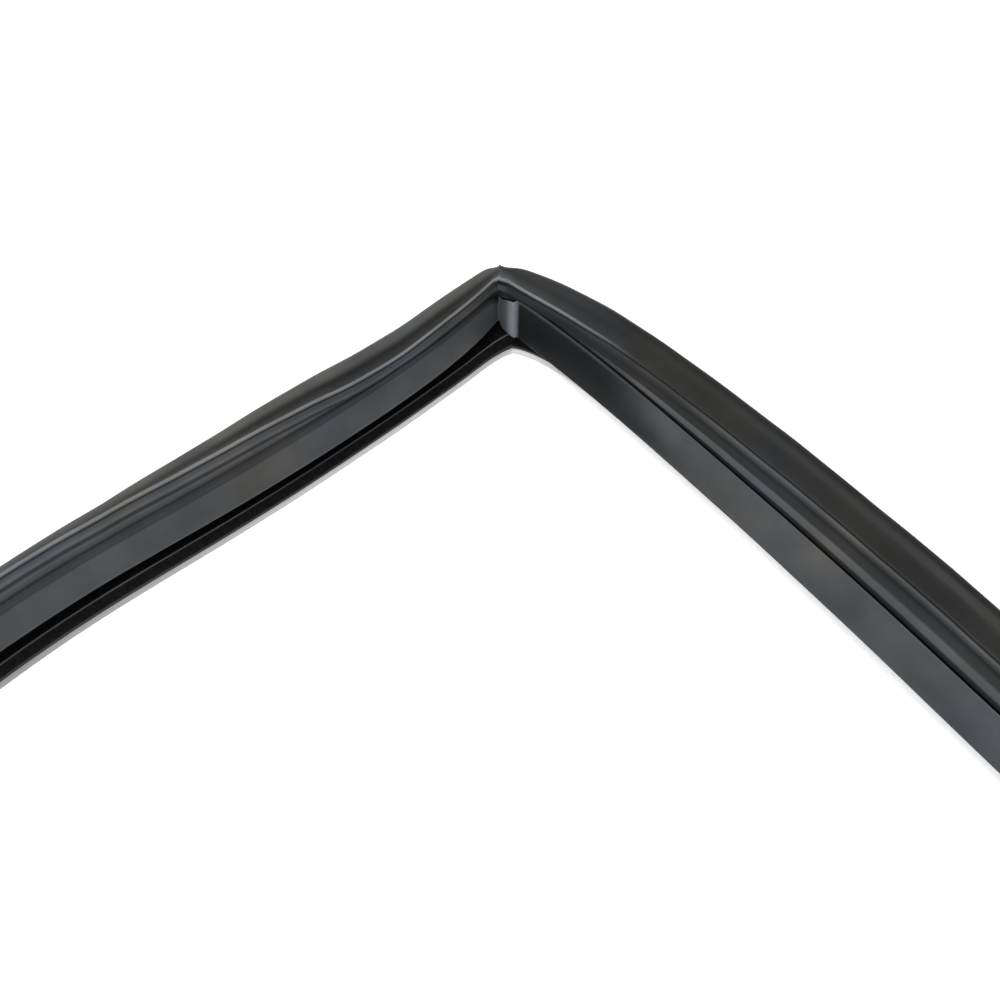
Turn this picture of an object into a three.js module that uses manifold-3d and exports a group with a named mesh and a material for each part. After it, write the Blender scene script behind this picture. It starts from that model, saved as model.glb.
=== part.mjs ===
// A refrigerator door gasket: a soft hollow profile, mitred and welded into a
// closed loop, on a thin hard base flange, with a flexible magnet strip in the
// pocket of each side. Millimetres, +Z up. The loop lies on its base flange
// with the magnet pocket on top, and the origin is the middle of its footprint.
//
// A point of the section is (n, z): n runs inwards from the base's outer edge
// and z upwards from the underside. The soft pocket and bellows hang on the
// base, so along a side they lean, open and bow as a relaxed gasket does.

import * as THREE from "three";
import Module from "manifold-3d";

// Loop, over the outer edges of the base
const loopWidth = 580;
const loopLength = 700;

// Base flange
const baseWidth = 21.1;
const baseThickness = 2.6;

// Walls of the soft profile
const wall = 1.3;
const finThickness = 1.2;

// Flap: the wide plain face between the groove and its free lower edge
const flapLength = 12.3;
const flapCrown = 0.5;

// Foot and the recess under the flap
const footHeight = 1.2;
const footRib = 0.8;
const footRibInset = 2.8;
const recessDepth = 7.5;

// Groove between the flap's top edge and the bellows
const grooveWidth = 1.5;
const grooveDepth = 2;
const grooveGap = 0.3;
const bellowsSwell = 0.12;

// Magnet pocket, measured from its inner lip: u runs outwards, v is up
const pocketWidth = 12.5;
const pocketDepth = 4.8;
const pocketInnerDepth = 4;
const rimRadius = 2.2;
const faceHollow = 0.5;
const lipDrop = 1.3;
const lipStep = 0.5;

// Magnet strip
const magnetWidth = 8.4;
const magnetThickness = 2;
const magnetClearance = 0.3;
const magnetInset = 2.4;
const magnetCover = 1;
const magnetToWeld = 22;

// Breathing slots in the base and loading slots under the magnet pocket
const slotLength = 14;
const slotWidth = 2.4;
const breathingInset = 7.2;
const loadingInset = 4.4;

// Set of the profile: place and slope of the flap, how far and at what angle
// the bellows hold the pocket's lip off it, and how far the pocket leans back
const weldSet = { n: 15.7, z: 21.7, slope: 72, opening: 3, angle: 18, lean: 42 };
const plainSet = { n: 18, z: 21.5, slope: 70, opening: 7, angle: 36, lean: 19 };
const rightSet = { n: 22.4, z: 20.4, slope: 65, opening: 10.9, angle: 38, lean: 7 };
const topSet = { n: 17.7, z: 22.2, slope: 72, opening: 7, angle: 39, lean: 10 };

// Reaches over which the set at a weld fades, and the flap's dip at the weld
const flapReach = 14;
const openingReach = 58;
const leanReach = 38;
const weldDip = 4.6;
const weldDipReach = 3.9;

// The two relaxed sides, by distance from the corner they share at +X +Y:
// where the top side's pocket flops back, where its bellows are creased, and
// the sideways bow of both
const topFlop = { by: 45, at: 185, span: 107 };
const topCrease = { by: -2.5, at: 55, span: 29 };
const topSwing = { by: 3.6, at: 49 };
const topWave = { by: -5.8, at: 181, span: 62 };
const rightSwing = { by: -6.6, at: 41 };
const rightWave = { by: 9.7, at: 247, span: 85 };

// Pull on the base at that corner, which fades along it and up the profile
const cornerPull = { x: 1.2, y: -4.2 };
const cornerPullReach = 12;
const cornerPullTop = 10;

// Stations of the sweep: close to each weld, as distances from it, and between
// them on the relaxed sides; and the number of points on each curve
const weldStations = [3, 9, 20, 40, 75];
const relaxedPitch = 42;
const curveSteps = 4;

const wasm = await Module();
wasm.setup();

const radians = THREE.MathUtils.degToRad;

// Fades from 1 at a weld to 0 a few reaches away from it.
function fade(distance, reach) {
  return Math.exp(-distance / reach);
}

// A rise or dip around a place on a side.
function bump(distance, { by, at, span }) {
  return by * Math.exp(-(((distance - at) / span) ** 2));
}

// Swings out from a corner to its most at a place, and dies away.
function swing(distance, { by, at }) {
  return by * (distance / at) * Math.exp(1 - distance / at);
}

// The four sides, each from its first corner to the next, turning clockwise
// from the corner at +X +Y. What changes along a relaxed side is given by the
// distance from that corner.
const sides = [
  {
    name: "right",
    length: loopLength,
    start: [loopWidth / 2, loopLength / 2],
    along: [0, -1],
    inward: [-1, 0],
    relaxed: true,
    fromCorner: (d) => d,
    set: rightSet,
    flop: () => 0,
    crease: () => 0,
    bow: (from) => swing(from, rightSwing) + bump(from, rightWave),
  },
  {
    name: "bottom",
    length: loopWidth,
    start: [loopWidth / 2, -loopLength / 2],
    along: [-1, 0],
    inward: [0, 1],
    relaxed: false,
    set: plainSet,
  },
  {
    name: "left",
    length: loopLength,
    start: [-loopWidth / 2, -loopLength / 2],
    along: [0, 1],
    inward: [1, 0],
    relaxed: false,
    set: plainSet,
  },
  {
    name: "top",
    length: loopWidth,
    start: [-loopWidth / 2, loopLength / 2],
    along: [1, 0],
    inward: [0, -1],
    relaxed: true,
    fromCorner: (d) => loopWidth - d,
    set: topSet,
    flop: (from) => bump(from, topFlop),
    crease: (from) => bump(from, topCrease),
    bow: (from) => swing(from, topSwing) + bump(from, topWave),
  },
];

// The set of the profile at a distance along a side.
function setAt(side, d) {
  const toWeld = Math.min(d, side.length - d);
  const from = side.relaxed ? side.fromCorner(d) : 0;
  const flop = side.relaxed ? side.flop(from) : 0;
  const crease = side.relaxed ? side.crease(from) : 0;
  const fromWeld = (key, reach, extra = 0) => {
    const far = side.set[key] + extra;
    return far + (weldSet[key] - far) * fade(toWeld, reach);
  };
  const slope = radians(fromWeld("slope", flapReach));
  const dip = weldDip * fade(toWeld, weldDipReach);
  const top = { n: fromWeld("n", flapReach), z: fromWeld("z", flapReach) };
  const opening = fromWeld("opening", openingReach) + crease;
  const angle = radians(fromWeld("angle", openingReach));
  return {
    lean: radians(fromWeld("lean", leanReach, flop)),
    slope,
    flapTop: { n: top.n + dip * Math.cos(slope), z: top.z - dip * Math.sin(slope) },
    flapEdge: {
      n: top.n + flapLength * Math.cos(slope),
      z: top.z - flapLength * Math.sin(slope),
    },
    lip: { n: top.n - opening * Math.sin(angle), z: top.z + opening * Math.cos(angle) },
    bow: side.relaxed ? side.bow(from) : 0,
  };
}

// Turns pocket coordinates (u, v) into a section point at a given set.
function pocketFrame({ lip, lean }) {
  const c = Math.cos(lean);
  const s = Math.sin(lean);
  return (u, v) => [lip.n - u * c - v * s, lip.z - u * s + v * c];
}

// Keeps a point of the bellows off the flap: it rests on the groove's wall, and
// above the flap's top it is free.
function offFlap({ flapTop }, [n, z]) {
  const above = z - flapTop.z;
  const run = above < 0 ? (2 * grooveWidth) / (3 * grooveDepth) : 2;
  return [Math.min(n, flapTop.n - grooveWidth / 3 - grooveGap + run * above), z];
}

// Outline of the soft profile at a given set, anticlockwise from the base's
// outer edge.
function bodyOutline(set) {
  const at = pocketFrame(set);
  const { flapTop: top, flapEdge: edge, slope } = set;
  const into = { n: -Math.sin(slope) * finThickness, z: -Math.cos(slope) * finThickness };
  const footTop = baseThickness + footHeight;
  const ribMiddle = baseWidth - footRibInset;
  const recessBack = baseWidth - recessDepth;
  const groove = { n: top.n - grooveWidth, z: top.z - grooveDepth };
  const finRoot = { n: edge.n - 2 * wall, z: edge.z + 2 * wall };
  const foot = at(0, -pocketInnerDepth);
  const rise = foot[1] - groove.z;
  const bellows = [(foot[0] + groove.n) / 2 + bellowsSwell * rise, groove.z + rise / 2];
  const rimCentre = pocketWidth - rimRadius;
  const wallMiddle = (baseThickness + at(pocketWidth, -pocketDepth)[1]) / 2;

  const path = new THREE.Path();
  path.moveTo(0, baseThickness);
  path.lineTo(baseWidth, baseThickness);
  // Foot with its low rib, and the back of the recess
  path.lineTo(baseWidth, footTop);
  path.lineTo(ribMiddle + footRib, footTop);
  path.lineTo(ribMiddle, footTop + footRib);
  path.lineTo(ribMiddle - footRib, footTop);
  path.lineTo(recessBack + wall, footTop);
  path.quadraticCurveTo(recessBack - wall, footTop + 2 * wall, finRoot.n, finRoot.z);
  // Underside of the fin, its rounded edge and the flap's face
  path.lineTo(edge.n + into.n, edge.z + into.z + wall);
  path.lineTo(edge.n + into.n / 2, edge.z - finThickness / 3);
  path.lineTo(edge.n, edge.z);
  const crown = [(edge.n + top.n) / 2 + 2 * flapCrown, (edge.z + top.z) / 2 + flapCrown];
  path.quadraticCurveTo(...crown, top.n, top.z);
  // Over the flap's top edge into the groove, and the bellows up to the pocket
  path.lineTo(top.n - grooveWidth / 3, top.z);
  path.lineTo(groove.n, groove.z);
  path.lineTo(...offFlap(set, bellows));
  path.lineTo(...offFlap(set, foot));
  // Inner side of the pocket with its step, and the crisp lip
  path.lineTo(...offFlap(set, at(0, -lipDrop - lipStep)));
  path.lineTo(...offFlap(set, at(lipStep, -lipDrop)));
  path.lineTo(...at(0, -lipStep));
  path.lineTo(...at(lipStep / 2, 0));
  // Hollow face and rounded outer rim
  const rimStart = at(rimCentre - rimRadius, rimRadius / 2);
  path.quadraticCurveTo(...at(pocketWidth / 2, -2 * faceHollow), ...rimStart);
  path.quadraticCurveTo(...at(rimCentre - rimRadius / 2, rimRadius), ...at(rimCentre, rimRadius));
  path.quadraticCurveTo(...at(pocketWidth, rimRadius), ...at(pocketWidth, 0));
  const pocketBack = at(pocketWidth - wall, -pocketDepth);
  path.quadraticCurveTo(...at(pocketWidth, wall - pocketDepth), ...pocketBack);
  // Outer wall down to the base
  path.quadraticCurveTo(wall, wallMiddle, 0, baseThickness + wall);
  return path.getPoints(curveSteps);
}

// Air chamber between the outer wall, the flap and the pocket's floor.
function chamberOutline(set) {
  const at = pocketFrame(set);
  const { flapTop: top, flapEdge: edge, slope } = set;
  const floor = baseThickness + footHeight;
  const chamberEnd = baseWidth - recessDepth - 2 * wall;
  const pocketBack = at(pocketWidth - wall, -pocketDepth);
  const behindFlap = [
    (edge.n + top.n) / 2 - 2 * wall * Math.sin(slope),
    (edge.z + top.z) / 2 - 2 * wall * Math.cos(slope),
  ];
  const points = [
    [2 * wall, floor],
    [chamberEnd, floor],
    [chamberEnd, floor + 2 * wall],
    behindFlap,
    [top.n - grooveWidth - wall, top.z - grooveDepth - 2 * wall],
    at(pocketWidth / 3, -pocketDepth),
    [pocketBack[0] + 2 * wall, pocketBack[1] - wall],
    [2 * wall + pocketBack[0] / 3, (floor + pocketBack[1]) / 2],
  ];
  return points.map(([n, z]) => new THREE.Vector2(n, z));
}

// Rectangle in pocket coordinates, from the inner end u and the lower side v.
function pocketRectangle(set, u, v, width, height) {
  const at = pocketFrame(set);
  const corners = [at(u, v), at(u, v + height), at(u + width, v + height), at(u + width, v)];
  return corners.map(([n, z]) => new THREE.Vector2(n, z));
}

function magnetOutline(set) {
  const lower = -magnetCover - magnetThickness;
  return pocketRectangle(set, magnetInset, lower, magnetWidth, magnetThickness);
}

function pocketVoidOutline(set) {
  const gap = magnetClearance;
  const lower = -magnetCover - magnetThickness - gap;
  const width = magnetWidth + 2 * gap;
  return pocketRectangle(set, magnetInset - gap, lower, width, magnetThickness + 2 * gap);
}

function loadingSlotOutline(set) {
  const height = pocketDepth - magnetCover + wall;
  return pocketRectangle(set, loadingInset, -pocketDepth - 2 * wall, slotWidth, height);
}

// Upright rectangle of the section, from its outer lower corner.
function rectangle(n, z, width, height) {
  return [
    new THREE.Vector2(n, z),
    new THREE.Vector2(n + width, z),
    new THREE.Vector2(n + width, z + height),
    new THREE.Vector2(n, z + height),
  ];
}

function breathingSlotOutline() {
  return rectangle(breathingInset, -wall, slotWidth, baseThickness + footHeight + 2 * wall);
}

function baseOutline() {
  return rectangle(0, 0, baseWidth, baseThickness);
}

// How strongly the pull on the base's corner acts on a section point.
function pullAt(side, d, z) {
  if (!side.relaxed) {
    return 0;
  }
  const share = (cornerPullTop - z) / (cornerPullTop - baseThickness);
  return THREE.MathUtils.clamp(share, 0, 1) * fade(side.fromCorner(d), cornerPullReach);
}

// A section point placed in space. The stations fan from one mitre to the
// other, so d is the distance along the outer edge and each line of the
// profile keeps its own length.
function place(side, d, point) {
  const n = point.x;
  const s = n + (side.length - 2 * n) * (d / side.length);
  const inwards = n + setAt(side, d).bow;
  const pull = pullAt(side, d, point.y);
  return [
    side.start[0] + side.along[0] * s + side.inward[0] * inwards + cornerPull.x * pull,
    side.start[1] + side.along[1] * s + side.inward[1] * inwards + cornerPull.y * pull,
    point.y,
  ];
}

// Distances of the stations on one side, from its first mitre up to the next.
function stationsOf(side) {
  const last = weldStations[weldStations.length - 1];
  const run = side.length - 2 * last;
  const steps = side.relaxed ? Math.round(run / relaxedPitch) : 2;
  const middle = [];
  for (let i = 1; i < steps; i++) {
    middle.push(last + (run * i) / steps);
  }
  const toEnd = weldStations.map((d) => side.length - d).reverse();
  return [0, ...weldStations, ...middle, ...toEnd];
}

// Solid from rings of points: each ring joins the next, and the loft either
// closes on its first ring or ends in two flat caps.
function loft(rings, closed) {
  const count = rings[0].length;
  const positions = rings.flat(2);
  const index = [];
  const spans = closed ? rings.length : rings.length - 1;
  for (let i = 0; i < spans; i++) {
    const a = i * count;
    const b = ((i + 1) % rings.length) * count;
    for (let j = 0; j < count; j++) {
      const k = (j + 1) % count;
      index.push(a + j, b + j, a + k, a + k, b + j, b + k);
    }
  }
  if (!closed) {
    const end = (rings.length - 1) * count;
    for (let j = 1; j < count - 1; j++) {
      index.push(0, j, j + 1);
      index.push(end, end + j + 1, end + j);
    }
  }
  return solidFrom(new Float32Array(positions), new Uint32Array(index));
}

function solidFrom(vertProperties, triVerts) {
  return new wasm.Manifold(new wasm.Mesh({ numProp: 3, vertProperties, triVerts }));
}

// An outline swept round the whole loop.
function sweepLoop(outline) {
  const rings = [];
  for (const side of sides) {
    for (const d of stationsOf(side)) {
      rings.push(outline(setAt(side, d)).map((point) => place(side, d, point)));
    }
  }
  return loft(rings, true);
}

// A convex outline swept along part of one side.
function sweepPart(side, from, to, outline) {
  const between = stationsOf(side).filter((d) => d > from + 1 && d < to - 1);
  const ringAt = (d) => outline(setAt(side, d)).map((point) => place(side, d, point));
  return loft([from, ...between, to].map(ringAt), false);
}

function slotOf(side, outline) {
  const middle = side.length / 2;
  return sweepPart(side, middle - slotLength / 2, middle + slotLength / 2, outline);
}

function buildBody() {
  let body = sweepLoop(bodyOutline).subtract(sweepLoop(chamberOutline));
  for (const side of sides) {
    const start = magnetToWeld - magnetClearance;
    body = body
      .subtract(sweepPart(side, start, side.length - start, pocketVoidOutline))
      .subtract(slotOf(side, loadingSlotOutline))
      .subtract(slotOf(side, breathingSlotOutline));
  }
  return body;
}

function buildBase() {
  let base = sweepLoop(baseOutline);
  for (const side of sides) {
    base = base.subtract(slotOf(side, breathingSlotOutline));
  }
  return base;
}

function buildMagnet(side) {
  return sweepPart(side, magnetToWeld, side.length - magnetToWeld, magnetOutline);
}

const plastic = (color, roughness) => new THREE.MeshStandardMaterial({ color, roughness });
const softBlack = () => plastic(0x2b2c2e, 0.55);
const hardGrey = () => plastic(0xb9bab8, 0.5);
const magnetBrown = () => plastic(0x2a211d, 0.8);

// A named mesh from a solid.
function meshOf(name, solid, material) {
  const { vertProperties, triVerts } = solid.getMesh();
  const geometry = new THREE.BufferGeometry();
  geometry.setAttribute("position", new THREE.BufferAttribute(new Float32Array(vertProperties), 3));
  geometry.setIndex(new THREE.BufferAttribute(new Uint32Array(triVerts), 1));
  geometry.computeVertexNormals();
  const mesh = new THREE.Mesh(geometry, material);
  mesh.name = name;
  return mesh;
}

const gasket = new THREE.Group();
gasket.add(meshOf("seal_body", buildBody(), softBlack()));
gasket.add(meshOf("base_flange", buildBase(), hardGrey()));
for (const side of sides) {
  gasket.add(meshOf(`magnet_strip_${side.name}`, buildMagnet(side), magnetBrown()));
}

// The bowed sides stand a little unevenly, so the loop is moved to put the
// origin in the middle of its footprint.
const footprint = new THREE.Box3().setFromObject(gasket).getCenter(new THREE.Vector3());
for (const mesh of gasket.children) {
  mesh.position.set(-footprint.x, -footprint.y, 0);
}

export default gasket;
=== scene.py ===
"""A black refrigerator door gasket seen from inside one welded corner. The soft profile and its
base strip are swept finely round the loop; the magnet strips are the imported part's own solids."""

import math

import bpy
from mathutils import Matrix, Vector, noise


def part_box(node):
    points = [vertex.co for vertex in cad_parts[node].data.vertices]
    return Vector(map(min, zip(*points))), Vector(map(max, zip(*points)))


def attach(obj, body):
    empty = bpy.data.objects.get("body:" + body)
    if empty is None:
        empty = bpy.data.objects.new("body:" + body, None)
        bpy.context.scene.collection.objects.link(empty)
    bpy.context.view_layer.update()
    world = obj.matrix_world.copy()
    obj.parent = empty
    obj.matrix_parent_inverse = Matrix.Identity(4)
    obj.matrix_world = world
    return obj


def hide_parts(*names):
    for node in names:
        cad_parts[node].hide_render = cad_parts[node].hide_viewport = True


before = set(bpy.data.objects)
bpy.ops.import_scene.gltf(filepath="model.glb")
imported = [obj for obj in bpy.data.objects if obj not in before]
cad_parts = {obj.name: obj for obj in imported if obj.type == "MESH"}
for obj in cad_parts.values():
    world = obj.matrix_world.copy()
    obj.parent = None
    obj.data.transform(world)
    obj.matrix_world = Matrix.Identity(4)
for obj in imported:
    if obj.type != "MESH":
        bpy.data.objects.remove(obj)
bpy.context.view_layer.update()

MM = 0.001

# Loop over the outer edges of the base. Sizes are in millimetres where nothing else is said.
LOOP_WIDTH, LOOP_LENGTH = 580.0, 700.0

# Base and walls of the section
BASE_WIDTH, BASE_THICKNESS = 21.1, 2.6
WALL, FIN = 1.3, 1.2
FLAP_LENGTH, FLAP_CROWN = 12.3, 0.5
FOOT_HEIGHT, FOOT_RIB, FOOT_RIB_INSET = 1.2, 0.8, 2.8
RECESS_DEPTH = 7.5
GROOVE_WIDTH, GROOVE_DEPTH, GROOVE_GAP = 1.5, 2.0, 0.3
BELLOWS_SWELL = 0.12
POCKET_WIDTH, POCKET_DEPTH, POCKET_INNER_DEPTH = 12.5, 4.8, 4.0
RIM_RADIUS, FACE_HOLLOW = 2.2, 0.5
LIP_DROP, LIP_STEP = 1.3, 0.5

# Base strip: bevel of its lower edges, and the small step in its inner edge
STRIP_BEVEL, STRIP_STEP, STRIP_STEP_ROUND = 0.25, 0.3, 0.1
STRIP_STEP_FROM, STRIP_STEP_TO, STRIP_TOP_ROUND = 0.42, 0.46, 0.12

# Roundings of the section's corners
CURVE_STEPS = 3
ROUND_CRISP, ROUND_RIB, ROUND_SMALL, ROUND_EDGE = 0.15, 0.25, 0.3, 0.35
ROUND_FLAP_EDGE, ROUND_FLAP_TIP, ROUND_FLAP_TOP = 0.4, 0.45, 0.5
ROUND_WALL, ROUND_FIN_ROOT, ROUND_SOFT = 0.6, 0.8, 0.9

# Set of the profile at the welds and along each side, in millimetres and degrees
WELD = dict(n=15.7, z=21.7, slope=72, opening=3, angle=18, lean=42)
PLAIN = dict(n=18, z=21.5, slope=70, opening=7, angle=36, lean=19)
RIGHT = dict(n=22.4, z=20.4, slope=65, opening=10.9, angle=38, lean=7)
TOP = dict(n=17.7, z=22.2, slope=72, opening=7, angle=39, lean=10)
FLAP_REACH, OPENING_REACH, LEAN_REACH = 14, 58, 38
WELD_DIP, WELD_DIP_REACH = 4.6, 3.9

# Relaxed waves of the two sides at the photographed corner: amount, distance from it, span
TOP_FLOP = (45, 185, 107)
TOP_CREASE = (-2.5, 55, 29)
TOP_SWING, TOP_WAVE = (3.6, 49), (-5.8, 181, 62)
RIGHT_SWING, RIGHT_WAVE = (-6.6, 41), (9.7, 247, 85)

# Small unevenness of the extrusion: amount, length and seed of each
UNEVEN = dict(slope=(1.6, 34, 0), opening=(0.16, 13, 9), lean=(1.2, 26, 5), face=(0.22, 21, 13))
UNEVEN_FROM = (4, 30)

# The foot is pulled by (x, y) at the photographed corner, less and less along the sides and
# upwards. On the top side it settles inwards too, in stretches of (amount, start, end).
PULL = (0.8, -6.0)
PULL_REACH, PULL_TOP = 12, 10
SETTLE = ((1.3, 0, 25), (1.4, 60, 190))
SETTLE_END = (300, 420)

# Welds: rounding of the rim and of the lip, the flash, and the shoulder on the right side
WELD_ROUND, WELD_ROUND_REACH = 2.4, 6.0
LIP_ROUND, LIP_ROUND_REACH = 1.0, 2.2
FLASH, FLASH_REACH = 0.22, 0.55
SHOULDER, SHOULDER_RISE, SHOULDER_FALL = 1.5, (0, 1.6), (5.2, 7.2)

# The valley above the flap on the top side, lower and softer than the groove elsewhere. It
# takes in the corners from the flap's top to the bellows' ridge.
VALLEY_DROP, VALLEY_DEPTH = 1.3, 0.3
VALLEY_CORNERS, VALLEY_ROUNDS, VALLEY_SHARE = 6, 30, 0.5

# Distances of the stations next to a weld, and the steps between those further on
WELD_STATIONS = [0, 0.3, 0.6, 1.0, 1.5, 2.1, 2.8, 3.6, 4.4, 5.1, 5.7]
WELD_STATIONS += [6.3, 6.9, 7.6, 8.5, 9.6, 11, 12.6, 14.5, 17, 20]
RELAXED_STEP, PLAIN_STEP = 4.4, 14.0

# Painted shade: lightness of surfaces that face the floor or the recess; and tint of the lip's edge
PAINTED_SHADE, LIP_WARM = 0.5, 0.3

# Painted light and shade of each band of the section, and its tint, on the sides away from the
# photographed corner:
# a painted highlight on the lip's edge and ridge, painted shade in the groove, step and fold
PLAIN_PAINTED_SHADING = dict(
    outer=0.7, rim=0.3, face=0.3, lip=0.3, step=0.1, wall=0.9, band=0.6, fold=0.2, hollow=0.3,
    ridge=1.05, lower=0.25, groove=0.06, flap=0.85, fall=0.2, top=0.9, edge=0.8,
    rim_warm=0.5, warm=-0.3, strip=0.8,
)

# Camera: its place from the loop's outer corner, its height, its direction in degrees and lens
CAMERA_FROM_CORNER, CAMERA_HEIGHT = (170.03, 179.31), 236.29
CAMERA_YAW, CAMERA_PITCH, CAMERA_LENS = 46.55, 56.95, 33.13

# Floor, in metres: half its width and how far it lies under the part, and its lightness
FLOOR_SIZE, FLOOR_DROP, FLOOR_WHITE = 6.0, 0.0002, 0.9

# Light: the sky is white at the horizon and a cool grey overhead
SKY_STRENGTH, SKY_TOP, SKY_TOP_AT = 1.15, (0.55, 0.56, 0.58), 0.75
SUN_ENERGY, SUN_ANGLE, SUN_DIRECTION = 3.6, 38, (0.55, 0.15, -0.82)


def fade(distance, reach):
    return math.exp(-distance / reach)


def bump(distance, by, at, span):
    return by * math.exp(-(((distance - at) / span) ** 2))


def swing(distance, by, at):
    return by * (distance / at) * math.exp(1 - distance / at)


def smooth(a, b, x):
    t = min(max((x - a) / (b - a), 0.0), 1.0)
    return t * t * (3 - 2 * t)


def wave(x, seed):
    return noise.noise(Vector((x, seed * 7.31, 0.5)))


def top_painted_shading(c):
    """Painted light and shade and tint of the bands on the top side, at distance c from the corner:
    a painted highlight on the lip and rim, and painted shade near the corner.
    """
    # Painted shade near the corner darkens the wall, band, hollow and ridge
    painted_corner_shade = 0.7 * fade(c, 9)
    return dict(
        outer=0.7, rim=1.15, face=0.1, lip=2.9 - 0.6 * smooth(60, 120, c), step=0.25,
        wall=0.8 - painted_corner_shade, band=1.1 - painted_corner_shade, fold=0.35, hollow=0.95 - painted_corner_shade, ridge=0.75 - painted_corner_shade,
        lower=0.5, groove=0.35, flap=0.92, fall=0.0, top=0.5, edge=1.25,
        rim_warm=0.9, warm=-0.3, strip=1 - 0.5 * smooth(40, 230, c),
    )


def right_painted_shading(c):
    """The same on the right side, whose flap is painted dark near the corner beyond a painted
    highlight on its shoulder.
    """
    near = 1 - smooth(22, 62, c)
    plain = smooth(70, 100, c)
    # Painted shade on the wall and on the flap's first stretch from the corner
    painted_corner_shade = 0.35 * fade(c, 14)
    flap = 0.1 + 0.78 * smooth(40, 76, c)
    # Painted highlight on the shoulder next to the weld
    shoulder = 0.75 + 1.5 * smooth(2.4, 4.6, c) + 0.35 * (1 - smooth(0.3, 1.6, c))
    flap += (shoulder - flap) * (1 - smooth(6.4, 7.4, c))
    fall = 0.1 + 0.6 * bump(c, 1, 64, 18) + 0.15 * smooth(105, 140, c)
    return dict(
        outer=0.7, rim=0.22 + 0.2 * near, face=0.3, lip=0.3 + 2.1 * near, step=0.1,
        wall=0.4 + 0.5 * plain - painted_corner_shade, band=0.25 + 0.35 * plain, fold=0.18, hollow=0.25,
        ridge=1.0 - 0.55 * near, lower=0.22, groove=0.04, flap=flap, fall=fall * smooth(7, 9, c),
        top=max(flap, 0.6), edge=flap * 0.8, rim_warm=0.6, warm=-0.25, strip=1.0,
    )


class Side:
    """One side of the loop. A relaxed side meets the photographed corner."""

    def __init__(self, name, length, start, along, inward, far, relaxed=False):
        self.name, self.length, self.start = name, length, start
        self.along, self.inward, self.far, self.relaxed = along, inward, far, relaxed
        self.seed = {"right": 1, "bottom": 2, "left": 3, "top": 4}[name]

    def corner(self, d):
        """Distance from the photographed corner, or None on the sides that don't meet it."""
        if not self.relaxed:
            return None
        return d if self.name == "right" else self.length - d

    def waves(self, c):
        """Extra lean, extra opening and bow at distance c from the photographed corner."""
        if not self.relaxed:
            return 0, 0, 0.0
        if self.name == "right":
            return 0, 0, swing(c, *RIGHT_SWING) + bump(c, *RIGHT_WAVE)
        return bump(c, *TOP_FLOP), bump(c, *TOP_CREASE), swing(c, *TOP_SWING) + bump(c, *TOP_WAVE)

    def settle(self, c):
        """How far the foot lies inwards of the flap on the top side."""
        if self.name != "top":
            return 0.0
        by = sum(amount * smooth(a, b, c) for amount, a, b in SETTLE)
        return by * (1 - smooth(*SETTLE_END, c))

    def shoulder(self, c):
        if self.name != "right":
            return 0.0
        return SHOULDER * smooth(*SHOULDER_RISE, c) * (1 - smooth(*SHOULDER_FALL, c))

    def tones(self, c):
        # Painted light and shade of the bands, the same all along or set by the distance from the
        # photographed corner
        if not self.relaxed:
            return PLAIN_PAINTED_SHADING
        return right_painted_shading(c) if self.name == "right" else top_painted_shading(c)

    def state(self, d):
        """Everything that shapes and colours the section at distance d along the side."""
        to_weld = min(d, self.length - d)
        c = self.corner(d)
        flop, crease, bow = self.waves(c)
        away = smooth(*UNEVEN_FROM, to_weld)

        def mix(key, reach, extra=0.0):
            far = self.far[key] + extra
            return far + (WELD[key] - far) * fade(to_weld, reach)

        def uneven(key):
            amount, length, shift = UNEVEN[key]
            return amount * away * wave(d / length, self.seed + shift)

        slope = math.radians(mix("slope", FLAP_REACH) + uneven("slope"))
        n, z = mix("n", FLAP_REACH), mix("z", FLAP_REACH)
        dip = WELD_DIP * fade(to_weld, WELD_DIP_REACH)
        opening = mix("opening", OPENING_REACH) + crease + uneven("opening")
        angle = math.radians(mix("angle", OPENING_REACH))
        lean = mix("lean", LEAN_REACH, flop) + uneven("lean")
        out = n + self.shoulder(c)
        return dict(
            slope=slope,
            lean=math.radians(lean),
            top=(out + dip * math.cos(slope), z - dip * math.sin(slope)),
            edge=(out + FLAP_LENGTH * math.cos(slope), z - FLAP_LENGTH * math.sin(slope)),
            lip=(n - opening * math.sin(angle), z + opening * math.cos(angle)),
            bow=bow,
            to_weld=to_weld,
            face=uneven("face"),
            valley=self.name == "top",
            tones=self.tones(c),
        )


HX, HY = LOOP_WIDTH / 2, LOOP_LENGTH / 2
SIDES = [
    Side("right", LOOP_LENGTH, (HX, HY), (0, -1), (-1, 0), RIGHT, True),
    Side("bottom", LOOP_WIDTH, (HX, -HY), (-1, 0), (0, 1), PLAIN),
    Side("left", LOOP_LENGTH, (-HX, -HY), (0, 1), (1, 0), PLAIN),
    Side("top", LOOP_WIDTH, (-HX, HY), (1, 0), (0, -1), TOP, True),
]

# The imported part's origin is the middle of its footprint
base_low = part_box("base_flange")[0]
MIDDLE = (-HX - base_low[0] / MM, -HY - base_low[1] / MM)


def place(side, d, n, z, bow):
    """A point of the section at distance d, n inwards of the loop's outer edge and z up."""
    s = n + (side.length - 2 * n) * (d / side.length)
    inwards = n + bow
    x = side.start[0] + side.along[0] * s + side.inward[0] * inwards
    y = side.start[1] + side.along[1] * s + side.inward[1] * inwards
    if side.relaxed:
        c = side.corner(d)
        low = min(max((PULL_TOP - z) / (PULL_TOP - BASE_THICKNESS), 0), 1)
        share = low * fade(c, PULL_REACH)
        x, y = x + PULL[0] * share, y + PULL[1] * share - low * side.settle(c)
    return ((x - MIDDLE[0]) * MM, (y - MIDDLE[1]) * MM, z * MM)


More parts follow.
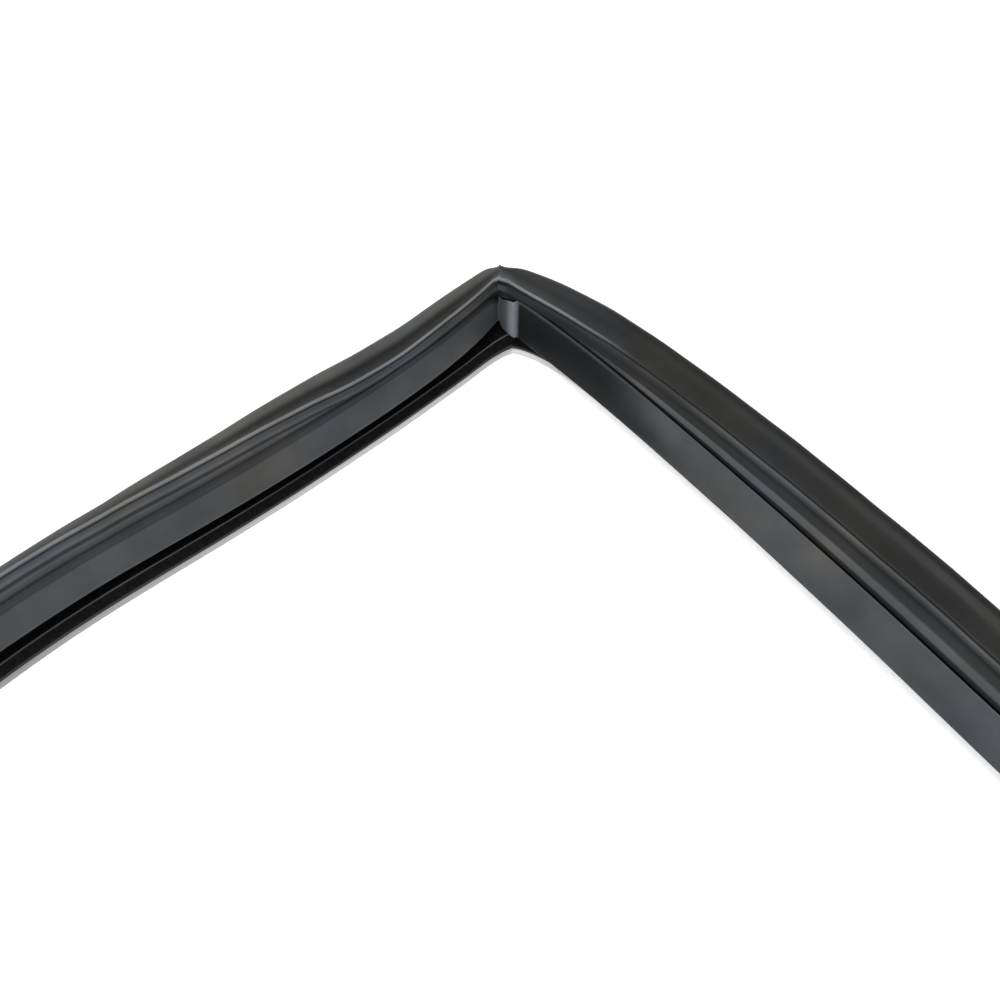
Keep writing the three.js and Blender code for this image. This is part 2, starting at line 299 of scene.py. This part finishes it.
def quad(a, c, b, steps):
    """Points of a quadratic curve after its start."""
    out = []
    for i in range(1, steps + 1):
        t = i / steps
        k0, k1, k2 = (1 - t) ** 2, 2 * t * (1 - t), t * t
        out.append((k0 * a[0] + k1 * c[0] + k2 * b[0], k0 * a[1] + k1 * c[1] + k2 * b[1]))
    return out


def rounded(corners):
    """Outline from (n, z, radius, finish...) corners; one with a radius becomes a short curve."""
    out = []
    for i, (n, z, r, *finish) in enumerate(corners):
        if r == 0:
            out.append((n, z, *finish))
            continue
        ends = []
        for other in (corners[i - 1], corners[(i + 1) % len(corners)]):
            dn, dz = other[0] - n, other[1] - z
            length = math.hypot(dn, dz) or 1e-6
            k = min(r, 0.46 * length) / length
            ends.append((n + dn * k, z + dz * k))
        out.append((*ends[0], *finish))
        out.extend((*p, *finish) for p in quad(ends[0], (n, z), ends[1], CURVE_STEPS))
    return out


def points_of(corners):
    """How many points the rounded outline has for these corners."""
    return sum(1 if corner[2] == 0 else CURVE_STEPS + 1 for corner in corners)


def softened(outline, first, last):
    """The outline with its points from first to last drawn towards their neighbours."""
    points = [list(p) for p in outline]
    for _ in range(VALLEY_ROUNDS):
        before = [tuple(p) for p in points]
        for i in range(first, last):
            for k in (0, 1):
                middle = (before[i - 1][k] + before[i + 1][k]) / 2
                points[i][k] += (middle - points[i][k]) * VALLEY_SHARE
    return [tuple(p) for p in points]


def grown(outline, i, by):
    """An outline point moved outwards."""
    a, b = outline[i - 1], outline[(i + 1) % len(outline)]
    dn, dz = b[0] - a[0], b[1] - a[1]
    length = math.hypot(dn, dz) or 1.0
    return (outline[i][0] + by * dz / length, outline[i][1] - by * dn / length, *outline[i][2:])


class Section:
    """Corners of the soft profile at one station, from the foot over the flap to the pocket.
    Each is (n, z, radius, painted lightness, 1 in the recess with painted shade, tint)."""

    def __init__(self, state):
        self.state, self.tone, self.line = state, state["tones"], []
        self.top, self.edge = state["top"], state["edge"]
        depth = GROOVE_DEPTH
        if state["valley"]:
            slope = state["slope"]
            down = (VALLEY_DROP * math.cos(slope), VALLEY_DROP * math.sin(slope))
            self.top = (self.top[0] + down[0], self.top[1] - down[1])
            depth = VALLEY_DEPTH
        self.groove = (self.top[0] - GROOVE_WIDTH, self.top[1] - depth)
        self.foot = self.at(0, -POCKET_INNER_DEPTH)
        self.valley_start = 0

    def at(self, u, v):
        """A point of the pocket, u outwards from the lip and v up, in its leaning frame."""
        c, s = math.cos(self.state["lean"]), math.sin(self.state["lean"])
        lip = self.state["lip"]
        return (lip[0] - u * c - v * s, lip[1] - u * s + v * c)

    def off_flap(self, p):
        """The point, kept clear of the flap."""
        above = p[1] - self.top[1]
        run = (2 * GROOVE_WIDTH) / (3 * GROOVE_DEPTH) if above < 0 else 2
        limit = self.top[0] - GROOVE_WIDTH / 3 - GROOVE_GAP + run * above
        return (min(p[0], limit), p[1])

    def between(self, share, swell):
        """A point of the bellows, a share of the way from the groove to the pocket's foot."""
        groove, foot = self.groove, self.foot
        rise = foot[1] - groove[1]
        p = (groove[0] + (foot[0] - groove[0]) * share, groove[1] + rise * share)
        return self.off_flap((p[0] + swell * BELLOWS_SWELL * rise, p[1]))

    def add(self, p, radius, light, recess=0, warm=None):
        tint = self.tone["warm"] if warm is None else warm
        self.line.append((p[0], p[1], radius, light, recess, tint))

    def add_foot(self):
        foot_top = BASE_THICKNESS + FOOT_HEIGHT
        rib = BASE_WIDTH - FOOT_RIB_INSET
        self.add((0, BASE_THICKNESS), 0, self.tone["outer"])
        # Painted shade on the foot and the faces under the flap; the rib's top keeps plain
        # lightness
        self.add((BASE_WIDTH, BASE_THICKNESS), 0, PAINTED_SHADE)
        self.add((BASE_WIDTH, foot_top), ROUND_EDGE, PAINTED_SHADE, 1)
        self.add((rib + FOOT_RIB, foot_top), ROUND_SMALL, PAINTED_SHADE, 1)
        self.add((rib + FOOT_RIB / 4, foot_top + FOOT_RIB), ROUND_RIB, 1.0)
        self.add((rib - FOOT_RIB / 4, foot_top + FOOT_RIB), ROUND_RIB, 1.0, 1)
        self.add((rib - FOOT_RIB, foot_top), ROUND_SMALL, PAINTED_SHADE, 1)

    def add_recess(self):
        slope, edge = self.state["slope"], self.edge
        foot_top = BASE_THICKNESS + FOOT_HEIGHT
        back = BASE_WIDTH - RECESS_DEPTH
        into = (-math.sin(slope) * FIN, -math.cos(slope) * FIN)
        start = (back + WALL, foot_top)
        fin_root = (edge[0] - 2 * WALL, edge[1] + 2 * WALL)
        # Painted shade on every face of the recess
        self.add(start, ROUND_SOFT, PAINTED_SHADE, 1)
        for p in quad(start, (back - WALL, foot_top + 2 * WALL), fin_root, 8)[1:-1]:
            self.add(p, 0, PAINTED_SHADE, 1)
        self.add(fin_root, ROUND_FIN_ROOT, PAINTED_SHADE, 1)
        self.add((edge[0] + into[0], edge[1] + into[1] + WALL), ROUND_EDGE, PAINTED_SHADE, 1)
        self.add((edge[0] + into[0] / 2, edge[1] - FIN / 3), ROUND_FLAP_TIP, PAINTED_SHADE)

    def add_flap(self):
        top, edge, tone = self.top, self.edge, self.tone
        steps = 12
        crown = ((edge[0] + top[0]) / 2 + 2 * FLAP_CROWN, (edge[1] + top[1]) / 2 + FLAP_CROWN)
        self.add(edge, ROUND_FLAP_EDGE, tone["edge"])
        for i, p in enumerate(quad(edge, crown, top, steps)[:-1]):
            uneven = self.state["face"] * math.sin(math.pi * (i + 1) / steps)
            # Painted shade darkens the flap's points next to its edge, by the band's fall
            light = tone["flap"] * (1 - tone["fall"] * (1 - smooth(1, 9, i)))
            self.add((p[0] + uneven, p[1]), 0, light)

    def add_bellows(self):
        top, tone = self.top, self.tone
        self.valley_start = len(self.line)
        # Painted highlight on the ridge, painted shade in the groove, lower band and fold
        self.add(top, ROUND_FLAP_TOP, tone["top"])
        self.add((top[0] - GROOVE_WIDTH / 3, top[1]), ROUND_EDGE, tone["groove"])
        self.add(self.groove, ROUND_SMALL, tone["groove"])
        self.add(self.between(0.14, 0.9), ROUND_SMALL, tone["groove"])
        self.add(self.between(0.28, 1.2), ROUND_FLAP_TOP, tone["lower"])
        self.add(self.between(0.5, 1.2), ROUND_SOFT, tone["ridge"])
        self.add(self.between(0.78, 0.4), ROUND_SOFT, tone["hollow"])
        self.add(self.off_flap(self.foot), ROUND_WALL, tone["fold"])

    def add_lip(self):
        tone, depth = self.tone, POCKET_INNER_DEPTH
        self.add(self.off_flap(self.at(-0.1, -0.72 * depth)), ROUND_WALL, tone["band"])
        self.add(self.off_flap(self.at(-0.15, -0.5 * depth)), ROUND_WALL, tone["wall"])
        # Painted shade on the step under the lip and a painted highlight on the lip's edge
        self.add(self.off_flap(self.at(0, -LIP_DROP - LIP_STEP)), ROUND_SMALL, tone["wall"])
        self.add(self.off_flap(self.at(LIP_STEP, -LIP_DROP)), ROUND_CRISP, tone["step"])
        self.add(self.at(0, -LIP_STEP), ROUND_SMALL, tone["lip"], 0, LIP_WARM)
        self.add(self.at(LIP_STEP / 2, 0), ROUND_SMALL, tone["lip"], 0, LIP_WARM)

    def add_pocket_top(self):
        """The hollow face, and the rim over the pocket's outer edge, with painted light and shade
        going from the face's value to the rim's.
        """
        at, tone, warm = self.at, self.tone, self.tone["rim_warm"]
        rim = POCKET_WIDTH - RIM_RADIUS
        start, dished = at(LIP_STEP / 2, 0), at(POCKET_WIDTH / 2, -2 * FACE_HOLLOW)
        rim_start, rim_top = at(rim - RIM_RADIUS, RIM_RADIUS / 2), at(rim, RIM_RADIUS)
        beside_lip = quad(start, dished, rim_start, 36)[0]
        self.add(beside_lip, 0, tone["face"], 0, warm)
        for i, p in enumerate(quad(start, dished, rim_start, 12)[1:]):
            light = tone["face"] + (tone["rim"] - tone["face"]) * smooth(5, 11, i)
            self.add(p, 0, light, 0, warm)
        over = quad(rim_start, at(rim - RIM_RADIUS / 2, RIM_RADIUS), rim_top, 5)
        over += quad(rim_top, at(POCKET_WIDTH, RIM_RADIUS), at(POCKET_WIDTH, 0), 6)
        for p in over:
            self.add(p, 0, tone["rim"], 0, warm)

    def add_outer_wall(self):
        at, light = self.at, self.tone["outer"]
        pocket_back = at(POCKET_WIDTH - WALL, -POCKET_DEPTH)
        wall_middle = (BASE_THICKNESS + at(POCKET_WIDTH, -POCKET_DEPTH)[1]) / 2
        beside = quad(at(POCKET_WIDTH, 0), at(POCKET_WIDTH, WALL - POCKET_DEPTH), pocket_back, 7)
        for p in beside[:-1]:
            self.add(p, 0, light)
        self.add(pocket_back, ROUND_FLAP_TOP, light)
        for p in quad(pocket_back, (WALL, wall_middle), (0, BASE_THICKNESS + WALL), 10)[1:]:
            self.add(p, 0, light)

    def outline(self):
        """The rounded outline, with the groove softened into a valley on the top side."""
        outline = rounded(self.line)
        if self.state["valley"]:
            start, end = self.valley_start, self.valley_start + VALLEY_CORNERS
            first = points_of(self.line[:start]) - 3
            last = points_of(self.line[:end]) + 4
            outline = softened(outline, first, last)
        return outline


def welded(outline, to_weld):
    """The outline with its rim and lip drawn in at a weld, and the weld's thin flash."""
    rim_pull = bump(to_weld, WELD_ROUND, 0, WELD_ROUND_REACH)
    lip_pull = bump(to_weld, LIP_ROUND, 0, LIP_ROUND_REACH)

    def pulled(n, z):
        by_rim = rim_pull * (1 - smooth(6.5, 10.5, n)) * smooth(4, 9, z)
        by_lip = lip_pull * smooth(9, 12, n) * smooth(19, 22.5, z)
        return n + by_rim + by_lip

    outline = [(pulled(n, z), z, *finish) for n, z, *finish in outline]
    flash = FLASH * (1 - smooth(0.0, FLASH_REACH, to_weld))
    if flash > 0:
        outline = [grown(outline, i, flash * smooth(5, 9, p[1])) for i, p in enumerate(outline)]
    return outline


def body_outline(state):
    section = Section(state)
    section.add_foot()
    section.add_recess()
    section.add_flap()
    section.add_bellows()
    section.add_lip()
    section.add_pocket_top()
    section.add_outer_wall()
    return welded(section.outline(), state["to_weld"])


def base_outline(state):
    # Painted shade of the strip, from the side's bands
    light = state["tones"]["strip"]
    outline = rounded([
        (0, 0, STRIP_BEVEL),
        (BASE_WIDTH, 0, STRIP_BEVEL),
        (BASE_WIDTH, BASE_THICKNESS * STRIP_STEP_FROM, STRIP_STEP_ROUND),
        (BASE_WIDTH - STRIP_STEP, BASE_THICKNESS * STRIP_STEP_TO, STRIP_STEP_ROUND),
        (BASE_WIDTH - STRIP_STEP, BASE_THICKNESS, STRIP_TOP_ROUND),
        (0, BASE_THICKNESS, STRIP_TOP_ROUND),
    ])
    return [(n, z, light, 0, 0.0) for n, z in outline]


def stations(side):
    """Distances along a side, close together at its welds."""
    half = side.length / 2
    step = RELAXED_STEP if side.relaxed else PLAIN_STEP
    near = list(WELD_STATIONS)
    d = near[-1]
    while d + 1.5 * step < half:
        d += step
        near.append(d)
    return near + [half] + [side.length - v for v in reversed(near)][:-1]


def ring(side, d, run, points, bow):
    """One station's points in place, their finish, and their lengthwise coordinates."""
    girth, row = 0.0, []
    for j, p in enumerate(points):
        if j:
            girth += math.dist(p[:2], points[j - 1][:2])
        row.append(((run + d) * MM, girth * MM))
    return dict(
        spots=[place(side, d, p[0], p[1], bow) for p in points],
        tone=[p[2] for p in points],
        in_painted_shade=[p[3] for p in points],
        warmth=[p[4] for p in points],
        uv=row,
    )


def skin(rings, run):
    """Faces between neighbouring rings, and the lengthwise coordinates of their corners."""
    faces, uvs = [], []
    count = len(rings[0]["spots"])
    for i, this in enumerate(rings):
        k = (i + 1) % len(rings)
        wrap = run * MM if k == 0 else 0.0
        row, other = this["uv"], rings[k]["uv"]
        for j in range(count):
            m = (j + 1) % count
            faces.append((i * count + j, i * count + m, k * count + m, k * count + j))
            a, b = row[j], other[j]
            a2, b2 = row[m], other[m]
            if m == 0:
                last = math.dist(this["spots"][j], this["spots"][m])
                a2, b2 = (a[0], a[1] + last), (b[0], b[1] + last)
            uvs += [a, a2, (b2[0] + wrap, b2[1]), (b[0] + wrap, b[1])]
    return faces, uvs


def sweep(name, outline):
    """A closed skin along the whole loop, from the outline at each station."""
    rings, run = [], 0.0
    for side in SIDES:
        for d in stations(side):
            state = side.state(d)
            rings.append(ring(side, d, run, outline(state), state["bow"]))
        run += side.length
    faces, uvs = skin(rings, run)
    mesh = bpy.data.meshes.new(name)
    mesh.from_pydata([p for r in rings for p in r["spots"]], [], faces)
    layer = mesh.uv_layers.new(name="along")
    layer.data.foreach_set("uv", [v for uv in uvs for v in uv])
    # The painted light and shade and the tint go onto the points as attributes
    for label in ("tone", "warmth"):
        values = [v for r in rings for v in r[label]]
        mesh.attributes.new(label, "FLOAT", "POINT").data.foreach_set("value", values)
    # Faces in the recess take the second material, whose near-black colour paints the shade there
    in_painted_shade = [v for r in rings for v in r["in_painted_shade"]]
    mesh.polygons.foreach_set("material_index", [in_painted_shade[face[0]] for face in faces])
    mesh.validate()
    mesh.shade_smooth()
    mesh.set_sharp_from_angle(angle=math.radians(38))
    obj = bpy.data.objects.new(name, mesh)
    bpy.context.scene.collection.objects.link(obj)
    return obj


class Nodes:
    """A material's node tree, with short calls to add and join nodes."""

    def __init__(self, name):
        self.material = bpy.data.materials.new(name)
        self.material.use_nodes = True
        self.tree = self.material.node_tree
        self.shader = self.tree.nodes["Principled BSDF"]

    def add(self, kind, **inputs):
        node = self.tree.nodes.new(kind)
        for key, value in inputs.items():
            self.give(node, key.replace("_", " "), value)
        return node

    def give(self, node, key, value):
        """A link to an input, or its plain value."""
        socket = node.inputs[key]
        if isinstance(value, bpy.types.NodeSocket):
            self.tree.links.new(value, socket)
        else:
            socket.default_value = value

    def object_place(self):
        return self.add("ShaderNodeTexCoord").outputs["Object"]

    def stretched(self, scale):
        """The lengthwise coordinates of a swept piece, scaled."""
        coordinates = self.add("ShaderNodeUVMap")
        coordinates.uv_map = "along"
        mapping = self.add("ShaderNodeMapping", Vector=coordinates.outputs["UV"], Scale=scale)
        return mapping.outputs["Vector"]

    def noise(self, vector, scale, detail):
        node = self.add("ShaderNodeTexNoise", Vector=vector, Scale=scale, Detail=detail)
        return node.outputs["Fac"]

    def attribute(self, name):
        node = self.add("ShaderNodeAttribute")
        node.attribute_name = name
        return node.outputs["Fac"]

    def math(self, operation, *values):
        node = self.add("ShaderNodeMath")
        node.operation = operation
        for i, value in enumerate(values):
            self.give(node, i, value)
        return node.outputs["Value"]

    def scaled(self, colour, factor):
        node = self.add("ShaderNodeVectorMath")
        node.operation = "SCALE"
        self.give(node, 0, colour)
        self.give(node, "Scale", factor)
        return node.outputs["Vector"]

    def to_range(self, value, low, high, source=(0.3, 0.7)):
        node = self.add("ShaderNodeMapRange", Value=value)
        node.inputs["From Min"].default_value, node.inputs["From Max"].default_value = source
        node.inputs["To Min"].default_value, node.inputs["To Max"].default_value = low, high
        return node.outputs["Result"]

    def colours(self, value, stops):
        node = self.add("ShaderNodeValToRGB", Fac=value)
        ramp = node.color_ramp
        for element, (position, colour) in zip(ramp.elements, (stops[0], stops[-1])):
            element.position, element.color = position, (*colour, 1)
        for position, colour in stops[1:-1]:
            ramp.elements.new(position).color = (*colour, 1)
        return node.outputs["Color"]

    def bump(self, height, strength, distance, under=None):
        """Relief from a height, with its distance in metres, over another relief if given."""
        node = self.add("ShaderNodeBump", Height=height, Strength=strength, Distance=distance)
        if under is not None:
            self.give(node, "Normal", under)
        return node.outputs["Normal"]

    def finish(self, colour, roughness, normal):
        self.give(self.shader, "Base Color", colour)
        self.give(self.shader, "Roughness", roughness)
        self.give(self.shader, "Normal", normal)
        return self.material


def soft_black():
    """Semi-matte PVC: bluish to olive blotches, fine draw lines and grain; its colour is scaled by
    the bands' painted light and shade and a random mottle.
    """
    m = Nodes("soft black PVC")
    m.shader.inputs["Specular IOR Level"].default_value = 0.14
    place_at = m.object_place()
    blotches = m.noise(place_at, 34.0, 2.0)
    streaks = m.noise(m.stretched((6, 900, 1)), 1.0, 2.0)
    grain = m.noise(place_at, 2600.0, 2.0)
    warm = m.math("MULTIPLY_ADD", m.attribute("warmth"), 0.17, blotches)
    tint = m.colours(warm, [
        (0.3, (0.0395, 0.0445, 0.0500)),
        (0.5, (0.0455, 0.0472, 0.0490)),
        (0.7, (0.0515, 0.0495, 0.0450)),
    ])
    mottle = m.to_range(m.noise(place_at, 62.0, 3.0), 0.78, 1.18)
    # Painted light and shade of the bands, times a random mottle
    tone = m.math("MULTIPLY", m.attribute("tone"), mottle)
    relief = m.bump(streaks, 0.14, 0.00014)
    relief = m.bump(grain, 0.2, 0.00006, relief)
    return m.finish(m.scaled(tint, tone), m.to_range(blotches, 0.42, 0.54), relief)


def painted_shade_black():
    """Painted shade: near-black colour on the inside of the fold under the flap, which little light
    reaches.
    """
    m = Nodes("black PVC with painted recess shade")
    m.shader.inputs["Specular IOR Level"].default_value = 0.06
    grain = m.noise(m.object_place(), 900.0, 3.0)
    tint = m.colours(grain, [(0.35, (0.002, 0.002, 0.0022)), (0.65, (0.006, 0.006, 0.006))])
    return m.finish(tint, m.to_range(grain, 0.75, 0.9), m.bump(grain, 0.2, 0.00008))


def hard_grey():
    m = Nodes("hard grey strip")
    streaks = m.noise(m.stretched((9, 1400, 1)), 1.0, 2.0)
    tint = m.colours(streaks, [(0.3, (0.38, 0.38, 0.375)), (0.7, (0.46, 0.46, 0.45))])
    # Painted shade: the strip is darker away from the photographed corner on the top side
    colour = m.scaled(tint, m.attribute("tone"))
    return m.finish(colour, m.to_range(streaks, 0.4, 0.5), m.bump(streaks, 0.12, 0.0001))


def magnet_brown():
    m = Nodes("magnet brown")
    grain = m.noise(m.object_place(), 1800.0, 4.0)
    tint = m.colours(grain, [(0.35, (0.018, 0.013, 0.011)), (0.65, (0.036, 0.028, 0.023))])
    return m.finish(tint, m.to_range(grain, 0.75, 0.9), m.bump(grain, 0.2, 0.00008))


def build_gasket():
    body = sweep("soft_profile", body_outline)
    body.data.materials.append(soft_black())
    body.data.materials.append(painted_shade_black())
    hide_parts("seal_body")
    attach(body, "root")

    strip = sweep("base_strip", base_outline)
    strip.data.materials.append(hard_grey())
    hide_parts("base_flange")
    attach(strip, "root")

    brown = magnet_brown()
    for side in SIDES:
        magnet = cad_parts["magnet_strip_" + side.name]
        magnet.data.materials.clear()
        magnet.data.materials.append(brown)


def build_camera():
    cam = bpy.data.objects.new("camera", bpy.data.cameras.new("camera"))
    bpy.context.scene.collection.objects.link(cam)
    yaw, pitch = math.radians(CAMERA_YAW), math.radians(CAMERA_PITCH)
    x = HX - CAMERA_FROM_CORNER[0] - MIDDLE[0]
    y = HY - CAMERA_FROM_CORNER[1] - MIDDLE[1]
    spot = Vector((x, y, CAMERA_HEIGHT)) * MM
    level = math.cos(pitch)
    ahead = Vector((math.cos(yaw) * level, math.sin(yaw) * level, -math.sin(pitch)))
    right = Vector((math.sin(yaw), -math.cos(yaw), 0))
    up = right.cross(ahead)
    turn = Matrix((right, up, -ahead)).transposed()
    cam.matrix_world = Matrix.Translation(spot) @ turn.to_4x4()
    cam.data.sensor_width = 36
    cam.data.lens = CAMERA_LENS
    cam.data.clip_start = 0.01
    bpy.context.scene.camera = cam


def build_floor():
    w = FLOOR_SIZE
    mesh = bpy.data.meshes.new("floor")
    mesh.from_pydata([(-w, -w, 0), (w, -w, 0), (w, w, 0), (-w, w, 0)], [], [(0, 1, 2, 3)])
    floor = bpy.data.objects.new("floor", mesh)
    floor.location.z = -FLOOR_DROP
    bpy.context.scene.collection.objects.link(floor)
    m = Nodes("white floor")
    m.shader.inputs["Base Color"].default_value = (FLOOR_WHITE, FLOOR_WHITE, FLOOR_WHITE, 1)
    m.shader.inputs["Roughness"].default_value = 0.9
    m.shader.inputs["Specular IOR Level"].default_value = 0.0
    mesh.materials.append(m.material)


def build_sky():
    """Soft light from all round, and plain white where the camera sees past the floor."""
    world = bpy.data.worlds.new("studio")
    bpy.context.scene.world = world
    world.use_nodes = True
    tree = world.node_tree
    sky = tree.nodes["Background"]
    sky.inputs["Strength"].default_value = SKY_STRENGTH
    white = tree.nodes.new("ShaderNodeBackground")
    white.inputs["Color"].default_value = (1, 1, 1, 1)
    white.inputs["Strength"].default_value = 1.0
    coordinates = tree.nodes.new("ShaderNodeTexCoord")
    height = tree.nodes.new("ShaderNodeSeparateXYZ")
    ramp = tree.nodes.new("ShaderNodeValToRGB")
    ramp.color_ramp.elements[0].color = (1.0, 1.0, 1.0, 1)
    ramp.color_ramp.elements[1].position = SKY_TOP_AT
    ramp.color_ramp.elements[1].color = (*SKY_TOP, 1)
    path = tree.nodes.new("ShaderNodeLightPath")
    mix = tree.nodes.new("ShaderNodeMixShader")
    links = tree.links
    links.new(coordinates.outputs["Generated"], height.inputs[0])
    links.new(height.outputs["Z"], ramp.inputs["Fac"])
    links.new(ramp.outputs["Color"], sky.inputs["Color"])
    links.new(path.outputs["Is Camera Ray"], mix.inputs["Fac"])
    links.new(sky.outputs[0], mix.inputs[1])
    links.new(white.outputs[0], mix.inputs[2])
    links.new(mix.outputs[0], tree.nodes["World Output"].inputs["Surface"])


def build_sun():
    lamp = bpy.data.lights.new("soft sun", "SUN")
    lamp.energy = SUN_ENERGY
    lamp.angle = math.radians(SUN_ANGLE)
    sun = bpy.data.objects.new("soft sun", lamp)
    sun.rotation_euler = Vector(SUN_DIRECTION).to_track_quat("-Z", "Y").to_euler()
    bpy.context.scene.collection.objects.link(sun)


build_gasket()
build_camera()
build_floor()
build_sky()
build_sun()
bpy.context.scene.view_settings.view_transform = "Standard"
